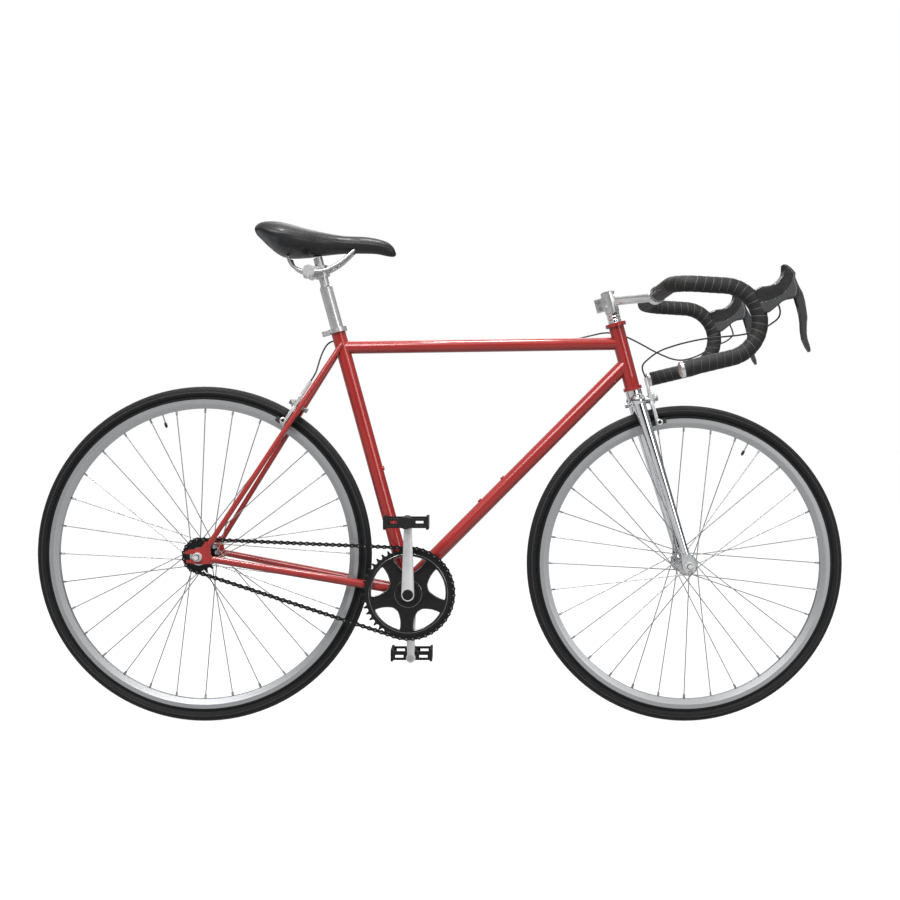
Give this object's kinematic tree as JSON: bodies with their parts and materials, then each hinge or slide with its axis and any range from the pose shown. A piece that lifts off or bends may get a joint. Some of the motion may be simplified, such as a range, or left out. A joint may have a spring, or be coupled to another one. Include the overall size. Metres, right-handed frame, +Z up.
{
  "type": "fixed gear bicycle",
  "caption": "Red steel bicycle with drop bars, side-pull brakes and a fixed rear cog; wheels, cranks, pedals, steering, levers, brake arms and seat post move.",
  "frame": {"origin": "on the ground, midway between the front and rear ends, in the middle plane", "axes": "+X towards the front wheel, +Y to the rider's left, +Z up; the chain is on the -Y side"},
  "size_m": [1.607, 0.4404, 0.9945],
  "materials": {
    "frame_paint": "glossy red lacquer",
    "fork_chrome": "mirror chrome plate",
    "plain_steel": "bright plated steel",
    "silver_alloy": "polished silver",
    "rim_alloy": "satin grey with turned side walls",
    "black_drive": "black with worn edges",
    "tyre_rubber": "dark grey tread and side wall",
    "tube_rubber": "smooth black rubber",
    "hood_rubber": "matte dark grey",
    "grey_lever": "dark grey anodised",
    "black_pedal": "satin black",
    "bar_cloth": "dark grey woven wrap",
    "saddle_leather": "black smooth cover with a grey-blue rear panel",
    "cable_cover": "glossy black cover"
  },
  "bodies": {
    "frame": {"head_tube": "frame_paint", "top_tube": "frame_paint", "down_tube": "frame_paint", "seat_tube": "frame_paint", "bottom_bracket_shell": "frame_paint", "chain_stays": "frame_paint", "seat_stays": "frame_paint", "track_ends": "frame_paint", "frame_fittings": "frame_paint", "headset_cups": "frame_paint", "headset_bearings": "plain_steel", "seat_collar": "silver_alloy", "bottom_bracket_cups": "plain_steel", "rear_axle": "plain_steel", "rear_brake_bolt": "plain_steel", "rear_brake_cable": "cable_cover", "chain": "black_drive"},
    "steering": {"fork_steerer": "plain_steel", "fork_crown": "fork_chrome", "fork_blades": "fork_chrome", "headset_spacers": "fork_chrome", "stem": "silver_alloy", "stem_bolts": "plain_steel", "handlebar": "silver_alloy", "bar_tape": "bar_cloth", "bar_end_plugs": "silver_alloy", "brake_hoods": "hood_rubber", "front_axle": "plain_steel", "front_brake_bolt": "plain_steel", "front_brake_cable": "cable_cover"},
    "front_wheel": {"front_tyre": "tyre_rubber", "front_inner_tube": "tube_rubber", "front_rim": "rim_alloy", "front_spokes": "plain_steel", "front_hub": "silver_alloy", "front_hub_bearings": "plain_steel"},
    "rear_wheel": {"rear_tyre": "tyre_rubber", "rear_inner_tube": "tube_rubber", "rear_rim": "rim_alloy", "rear_spokes": "plain_steel", "rear_hub": "silver_alloy", "rear_hub_bearings": "plain_steel", "cog": "black_drive"},
    "crankset": {"bottom_bracket_spindle": "plain_steel", "crank_arms": "silver_alloy", "chainring": "black_drive", "crank_bolts": "plain_steel", "pedal_axles": "plain_steel"},
    "right_pedal": {"right_pedal": "black_pedal"},
    "left_pedal": {"left_pedal": "black_pedal"},
    "seat": {"seat_post": "silver_alloy", "saddle_clamp": "silver_alloy", "saddle_rails": "plain_steel", "saddle": "saddle_leather"},
    "right_lever": {"right_lever": "grey_lever"},
    "left_lever": {"left_lever": "grey_lever"},
    "front_brake_right_arm": {"front_brake_right_arm": "silver_alloy"},
    "front_brake_left_arm": {"front_brake_left_arm": "silver_alloy"},
    "rear_brake_right_arm": {"rear_brake_right_arm": "silver_alloy"},
    "rear_brake_left_arm": {"rear_brake_left_arm": "silver_alloy"}
  },
  "joints": [
    {"name": "steering_turn", "type": "hinge", "parent": "frame", "child": "steering", "pos_m": [0.47835, 0, 0.31232], "axis": [-0.2554, 0, 0.9668], "range_deg": [-60, 60], "deforming": ["rear_brake_cable"]},
    {"name": "front_wheel_spin", "type": "hinge", "parent": "steering", "child": "front_wheel", "pos_m": [0.4885, 0, 0.315], "axis": [0, 1, 0], "continuous": true},
    {"name": "rear_wheel_spin", "type": "hinge", "parent": "frame", "child": "rear_wheel", "pos_m": [-0.4695, 0, 0.334], "axis": [0, 1, 0], "continuous": true, "deforming": ["chain"]},
    {"name": "crank_spin", "type": "hinge", "parent": "frame", "child": "crankset", "pos_m": [-0.06091, 0, 0.26], "axis": [0, 1, 0], "continuous": true, "deforming": ["chain"]},
    {"name": "right_pedal_spin", "type": "hinge", "parent": "crankset", "child": "right_pedal", "pos_m": [-0.06091, 0, 0.405], "axis": [0, 1, 0], "continuous": true},
    {"name": "left_pedal_spin", "type": "hinge", "parent": "crankset", "child": "left_pedal", "pos_m": [-0.06091, 0, 0.115], "axis": [0, 1, 0], "continuous": true},
    {"name": "seat_post_slide", "type": "slide", "parent": "frame", "child": "seat", "axis": [-0.2656, 0, 0.9641], "range_m": [-0.08, 0.06]},
    {"name": "right_lever_pull", "type": "hinge", "parent": "steering", "child": "right_lever", "pos_m": [0.64969, -0.205, 0.84927], "axis": [0, 1, 0], "range_deg": [0, 22], "stiffness_Nm_per_rad": 1.5, "springref_deg": -8.59},
    {"name": "left_lever_pull", "type": "hinge", "parent": "steering", "child": "left_lever", "pos_m": [0.64969, 0.205, 0.84927], "axis": [0, 1, 0], "range_deg": [0, 22], "stiffness_Nm_per_rad": 1.5, "springref_deg": -8.59},
    {"name": "front_brake_right_close", "type": "hinge", "parent": "steering", "child": "front_brake_right_arm", "pos_m": [0.42203, 0, 0.6429], "axis": [0.9668, 0, 0.2554], "range_deg": [0, 1.85]},
    {"name": "front_brake_left_close", "type": "hinge", "parent": "steering", "child": "front_brake_left_arm", "pos_m": [0.42203, 0, 0.6429], "axis": [-0.9668, 0, -0.2554], "range_deg": [0, 1.85]},
    {"name": "rear_brake_right_close", "type": "hinge", "parent": "frame", "child": "rear_brake_right_arm", "pos_m": [-0.28736, 0, 0.63317], "axis": [0.8422, 0, -0.5392], "range_deg": [0, 1.85]},
    {"name": "rear_brake_left_close", "type": "hinge", "parent": "frame", "child": "rear_brake_left_arm", "pos_m": [-0.28736, 0, 0.63317], "axis": [-0.8422, 0, 0.5392], "range_deg": [0, 1.85]}
  ],
  "couplings": [
    {"joint": "crank_spin", "follows": "rear_wheel_spin", "ratio": 0.36364},
    {"joint": "front_brake_right_close", "follows": "right_lever_pull", "ratio": 0.08409},
    {"joint": "front_brake_left_close", "follows": "right_lever_pull", "ratio": 0.08409},
    {"joint": "rear_brake_right_close", "follows": "left_lever_pull", "ratio": 0.08409},
    {"joint": "rear_brake_left_close", "follows": "left_lever_pull", "ratio": 0.08409}
  ]
}
